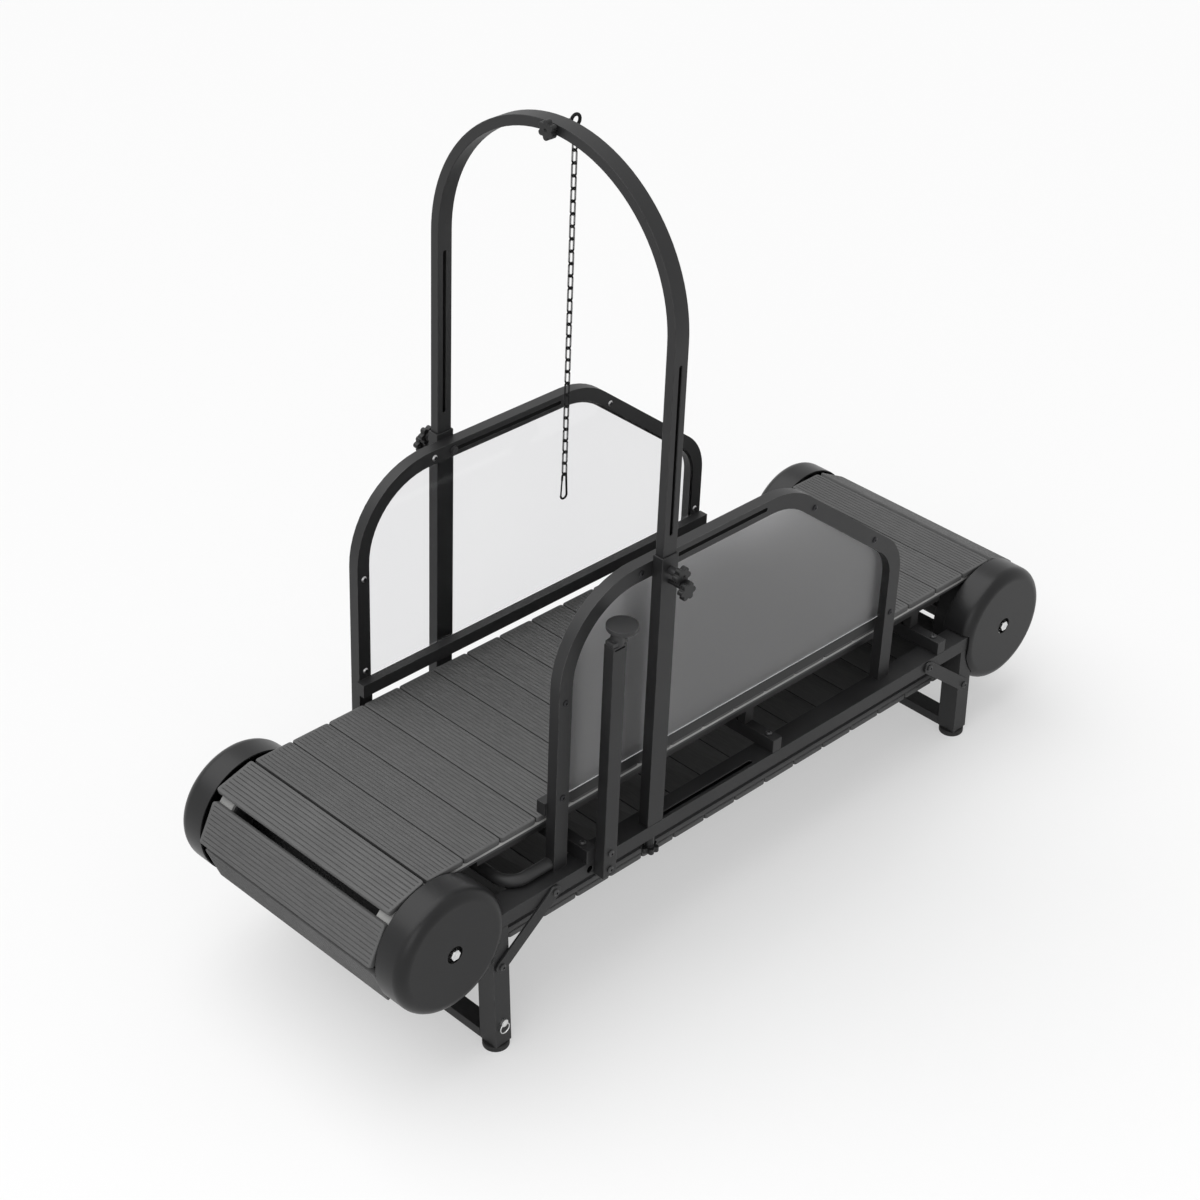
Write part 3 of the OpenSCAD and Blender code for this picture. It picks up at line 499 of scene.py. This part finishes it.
composite, nodes, links, shader, place = new_finish("slat_composite", 0.7)
shader.inputs["Specular IOR Level"].default_value = 0.3
island = nodes.new("ShaderNodeNewGeometry")
lengthways = nodes.new("ShaderNodeMapping")
lengthways.inputs["Scale"].default_value = (1, 0.06, 1)
links.new(place, lengthways.inputs["Vector"])
streaks = noise(nodes, links, lengthways.outputs["Vector"], 420.0, detail=5.0)
surface = add_group(nodes, links, skin, place, Grain_per_metre=1300.0, Clouds_per_metre=9.0)
# A faint painted highlight along the slats' edges.
lit_edges = add_group(nodes, links, edge_highlight_group, place, Amount=0.5, Reach=0.001)
long_grain = spread(nodes, links, streaks, 0.32, 0.7, 0, 1)
board = mix_colour(nodes, links, long_grain, (0.078, 0.078, 0.078), (0.102, 0.102, 0.102))
shade = spread(nodes, links, island.outputs["Random Per Island"], 0, 1, 0.93, 1.07)
tint = nodes.new("ShaderNodeMix")
tint.data_type = "RGBA"
tint.blend_type = "MULTIPLY"
tint.inputs["Factor"].default_value = 1.0
links.new(board, tint.inputs["A"])
links.new(shade, tint.inputs["B"])
links.new(mix_colour(nodes, links, lit_edges.outputs["Highlight"], tint.outputs["Result"],
                     (0.13, 0.13, 0.13)), shader.inputs["Base Color"])
links.new(spread(nodes, links, surface.outputs["Clouds"], 0.3, 0.7, 0.64, 0.78),
          shader.inputs["Roughness"])
add_bump(nodes, links, shader, streaks, 0.00012)
# Groove floors a little darker than the board: painted shade in the grooves.
groove_floor = coated("slat_grooves", (0.072, 0.072, 0.072), (0.088, 0.088, 0.0875),
                      (0.09, 0.09, 0.09), 0.75, 0.9, grain_size=800, shine=0.2)
# Darker finish for the slats' long sides: painted shade in the gaps.
painted_gap_shade = coated("slat_sides_gap_shade", (0.036, 0.036, 0.036), (0.048, 0.048, 0.048),
                   (0.04, 0.04, 0.04), 0.75, 0.9, grain_size=800, shine=0.2)
for finish in (composite, groove_floor, painted_gap_shade):
    slat.data.materials.append(finish)

# Each slat's place along the loop, from above the front axle: the top run, the
# rear bend, the bottom run and the front bend. slat_lag starts and ends a slat's
# turn that much later at the rear drum and sooner at the front one.
bend_length = math.pi * belt_bend
loop_length = 2 * drum_gap + 2 * bend_length
pitch = loop_length / slat_count
runs = {"top": [], "bottom": [], "bends": []}
for k in range(slat_count):
    d = first_slat + k * pitch
    if d < drum_gap + slat_lag:
        run, turn, middle, off = "top", 0, -drum_gap / 2 + d, 0
    elif d < drum_gap + bend_length + slat_lag:
        run, turn, middle, off = ("bends", (d - slat_lag - drum_gap) / belt_bend,
                                  drum_gap / 2, slat_lag)
    elif d < 2 * drum_gap + bend_length - slat_lag:
        run, turn, middle, off = ("bottom", math.pi,
                                  drum_gap / 2 - (d - drum_gap - bend_length), 0)
    elif d < loop_length - slat_lag:
        run, turn, middle, off = ("bends", math.pi + (d + slat_lag - 2 * drum_gap
                                                      - bend_length) / belt_bend,
                                  -drum_gap / 2, -slat_lag)
    else:
        run, turn, middle, off = "top", 0, -drum_gap / 2 + d - loop_length, 0
    one = slat.copy()
    one.data = slat.data.copy()
    bpy.context.scene.collection.objects.link(one)
    one.data.transform(deck_to_floor @ Matrix.Translation((middle, 0, -drum_depth))
                       @ Matrix.Rotation(turn, 4, "Y")
                       @ Matrix.Translation((off, 0, slat_out)))
    runs[run].append(one)
bpy.data.objects.remove(slat)
for run, replaced in (("top", "slats_top"), ("bottom", "slats_bottom"),
                      ("bends", "slats_ends")):
    bpy.ops.object.select_all(action="DESELECT")
    for one in runs[run]:
        one.select_set(True)
    bpy.context.view_layer.objects.active = runs[run][0]
    bpy.ops.object.join()
    ribbed = bpy.context.object
    ribbed.name = "ribbed_slats_" + run
    # In the bends the sides are open, so they keep the board's finish and no painted shade.
    if run == "bends":
        ribbed.data.materials[board_side] = composite
    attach(ribbed, "frame")
    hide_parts(replaced)

brass = grained("brass_clips", (0.36, 0.28, 0.12), (0.62, 0.50, 0.26), 0.25, 0.45)
finish_node(brass, "slat_nuts")
smooth("slat_nuts")


# ---------------------------------------------------------------------------
# Axle washers: rings on the rails round the axles' hexagon heads, seen through
# the covers' holes, near black: painted shade inside the holes.

washer_holes, washer_rims = 0.0119, 0.0175
washer_thick = 0.002
washer_middle = 0.3153
rings = []
for end in (-1, 1):
    for side in (-1, 1):
        bpy.ops.object.select_all(action="DESELECT")
        bpy.ops.mesh.primitive_circle_add(vertices=48, radius=washer_holes, fill_type="NOTHING",
                                          location=(0, 0, 0))
        ring = bpy.context.object
        bpy.ops.object.mode_set(mode="EDIT")
        bpy.ops.mesh.select_all(action="SELECT")
        bpy.ops.mesh.extrude_edges_move()
        bpy.ops.transform.resize(value=[washer_rims / washer_holes] * 3)
        bpy.ops.object.mode_set(mode="OBJECT")
        thick = ring.modifiers.new("thickness", "SOLIDIFY")
        thick.thickness = washer_thick
        thick.offset = 0
        bpy.ops.object.modifier_apply(modifier="thickness")
        rim = ring.modifiers.new("rounded rim", "BEVEL")
        rim.width = 0.0004
        rim.segments = 2
        rim.limit_method = "ANGLE"
        bpy.ops.object.modifier_apply(modifier="rounded rim")
        bpy.ops.object.shade_smooth_by_angle(angle=math.radians(40))
        ring.data.transform(deck_to_floor @ Matrix.Translation(
            (end * drum_gap / 2, side * washer_middle, -drum_depth))
            @ Matrix.Rotation(math.radians(90), 4, "X"))
        rings.append(ring)
bpy.ops.object.select_all(action="DESELECT")
for ring in rings:
    ring.select_set(True)
bpy.context.view_layer.objects.active = rings[0]
bpy.ops.object.join()
washers = bpy.context.object
washers.name = "axle_washers"
washers.data.materials.clear()
# Near-black finish: painted shade inside the covers' holes.
washers.data.materials.append(
    coated("washer_hole_shade", (0.002, 0.002, 0.002), (0.004, 0.004, 0.004),
           (0.01, 0.01, 0.01), 0.6, 0.75, grain_size=1500, shine=0.1))
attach(washers, "frame")


# ---------------------------------------------------------------------------
# Bolts and screws of the frame: button heads in blackened steel. The panels'
# screws are black outside; towards the belt they are bright steel with a dark flat
# middle, a painted highlight on the rims of the black heads.

black_bolt = grained("black_bolts", (0.018, 0.018, 0.019), (0.035, 0.035, 0.036), 0.3, 0.5,
                     grain_size=1800.0, cloud_size=90.0, metallic=0.0)
finish_node(black_bolt, "frame_bolts", "slot_bolts")
smooth("frame_bolts", "slot_bolts")

# Bright steel on the belt side: a painted highlight on the screw heads' rims.
rim_highlight_steel = (0.34, 0.34, 0.345), (0.48, 0.48, 0.48)
screw_black = (0.03, 0.03, 0.032)
bar_inside, bar_outside = 0.270, 0.271
screw_finish = grained("panel_screws", *rim_highlight_steel, 0.28, 0.45, grain_size=1800.0,
                       cloud_size=90.0, bump=None, metallic=0.9)
nodes, links = screw_finish.node_tree.nodes, screw_finish.node_tree.links
shader = nodes["Principled BSDF"]
apart = nodes.new("ShaderNodeSeparateXYZ")
links.new(nodes.new("ShaderNodeTexCoord").outputs["Object"], apart.inputs["Vector"])
across = calculate(nodes, links, "ABSOLUTE", apart.outputs["Y"])
outside = spread(nodes, links, across, bar_inside, bar_outside, 0, 1)
flat_middle = spread(nodes, links, facing_sideways(nodes, links), 0.95, 0.99, 0, 1)
blacked = calculate(nodes, links, "MAXIMUM", flat_middle, outside)
steel = shader.inputs["Base Color"].links[0].from_socket
links.new(mix_colour(nodes, links, blacked, steel, screw_black), shader.inputs["Base Color"])
finish_node(screw_finish, "panel_screws")
smooth("panel_screws")


# ---------------------------------------------------------------------------
# Star knobs: moulded black plastic with a steel screw, six lobes each.

knob_plastic = coated("knob_plastic", (0.007, 0.007, 0.0073), (0.011, 0.011, 0.0113),
                      (0.05, 0.05, 0.05), 0.38, 0.5, grain_size=1500, bump=0.00006,
                      highlight_amount=0.3)
knobs = ("knob_a_near", "knob_a_far", "knob_b_near", "knob_b_far", "knob_rail_near",
         "knob_rail_far", "knob_top")
finish_node(knob_plastic, *knobs)
soften(0.0014, *knobs)


# ---------------------------------------------------------------------------
# Round plate on the short post: a steel disc on a neck, coated like the tie tube.

# The plate takes the lighter copy of the coat: painted light.
finish_node(lit_tube_coat, "top_plate")
soften(0.001, "top_plate")


# ---------------------------------------------------------------------------
# Eye bolt, lock nut, chain and spring hook: welded wire links under a thick
# blacking that hang behind the arch, with a pear-shaped hook for the lead.

chain_steel = grained("black_chain", (0.006, 0.006, 0.0062), (0.012, 0.012, 0.0122), 0.45, 0.6,
                      grain_size=2500.0, cloud_size=60.0, bump=0.00004, metallic=0.0,
                      shine=0.12)
lead_gear = ("eye_bolt", "eye_nut", "chain_top", "chain", "hook", "hook_gate")
finish_node(chain_steel, *lead_gear)
smooth(*lead_gear, angle=40)
for name in ("chain_top", "chain", "hook"):
    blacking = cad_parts[name].modifiers.new("thick blacking", "DISPLACE")
    blacking.mid_level = 0
    blacking.strength = 0.0003


# ---------------------------------------------------------------------------
# Foot pads and pull pins: round black rubber pads under the legs, and zinc
# pins with rings that hold the front feet at their height.

rubber = grained("rubber_pads", (0.010, 0.010, 0.010), (0.022, 0.0215, 0.021), 0.7, 0.9,
                 grain_size=1400.0, cloud_size=40.0, bump=0.0001, metallic=0.0,
                 clouds_from=0.4, clouds_to=0.75)
pads = ("rear_pads", "front_pad_near", "front_pad_far")
finish_node(rubber, *pads)
soften(0.0022, *pads, steps=3)
finish_node(zinc, "pin_near", "pin_far")
smooth("pin_near", "pin_far")


# ---------------------------------------------------------------------------
# Stage: a white studio floor and air, a broad daylight above and a softbox in front.

def seen_by_lens(nodes, links):
    """1 for camera, glossy and transmission rays, which show the white studio."""
    rays = nodes.new("ShaderNodeLightPath")
    first = calculate(nodes, links, "MAXIMUM", rays.outputs["Is Camera Ray"],
                      rays.outputs["Is Glossy Ray"])
    return calculate(nodes, links, "MAXIMUM", first, rays.outputs["Is Transmission Ray"])


bpy.ops.object.select_all(action="DESELECT")
bpy.ops.mesh.primitive_circle_add(vertices=96, radius=9, fill_type="NGON", location=(0, 0, 0))
floor = bpy.context.object
floor.name = "studio_floor"
floor_paint, nodes, links, shader, place = new_finish("studio_white", 0.9)
shader.inputs["Base Color"].default_value = (0.80, 0.80, 0.80, 1)
shader.inputs["Specular IOR Level"].default_value = 0.0
glow = nodes.new("ShaderNodeEmission")
glow.inputs["Color"].default_value = (1, 1, 1, 1)
floor_glow = 0.45
share = calculate(nodes, links, "MULTIPLY", seen_by_lens(nodes, links), floor_glow)
whiten = nodes.new("ShaderNodeMixShader")
links.new(share, whiten.inputs["Fac"])
links.new(shader.outputs["BSDF"], whiten.inputs[1])
links.new(glow.outputs["Emission"], whiten.inputs[2])
links.new(whiten.outputs["Shader"], nodes["Material Output"].inputs["Surface"])
floor.data.materials.append(floor_paint)

world = bpy.data.worlds.new("studio_air")
bpy.context.scene.world = world
world.use_nodes = True
nodes, links = world.node_tree.nodes, world.node_tree.links
air = nodes["Background"]
air.inputs["Color"].default_value = (1, 1, 1, 1)
air_light, air_seen = 0.52, 1.0
links.new(spread(nodes, links, seen_by_lens(nodes, links), 0, 1, air_light, air_seen),
          air.inputs["Strength"])

for name, kind, spot, size, power in (
        ("soft_daylight", "SUN", (-0.8, 1.2, 4.0), math.radians(70), 2.2),
        ("front_softbox", "AREA", (-3.4, -2.6, 2.4), 2.4, 30)):
    lamp = bpy.data.lights.new(name, kind)
    if kind == "SUN":
        lamp.angle = size
    else:
        lamp.shape = "SQUARE"
        lamp.size = size
    lamp.energy = power
    holder = bpy.data.objects.new(name, lamp)
    bpy.context.scene.collection.objects.link(holder)
    holder.location = spot
    aim = Vector((0, 0, 0.5)) - Vector(spot)
    holder.rotation_euler = aim.to_track_quat("-Z", "Y").to_euler()

lens = bpy.data.cameras.new("photo_camera")
lens.lens = 78.157
lens.sensor_width = 36
lens.sensor_fit = "HORIZONTAL"
lens.clip_end = 60
camera = bpy.data.objects.new("photo_camera", lens)
bpy.context.scene.collection.objects.link(camera)
right = Vector((0.70884, -0.70536, -0.00201)).normalized()
ahead = Vector((0.57662, 0.58110, -0.57431)).normalized()
up = right.cross(ahead).normalized()
turn = Matrix((right, up, -ahead)).transposed().to_4x4()
camera_place = (-3.0598, -2.9682, 3.5346)
camera.matrix_world = Matrix.Translation(camera_place) @ turn
bpy.context.scene.camera = camera
bpy.context.scene.view_settings.view_transform = "Standard"
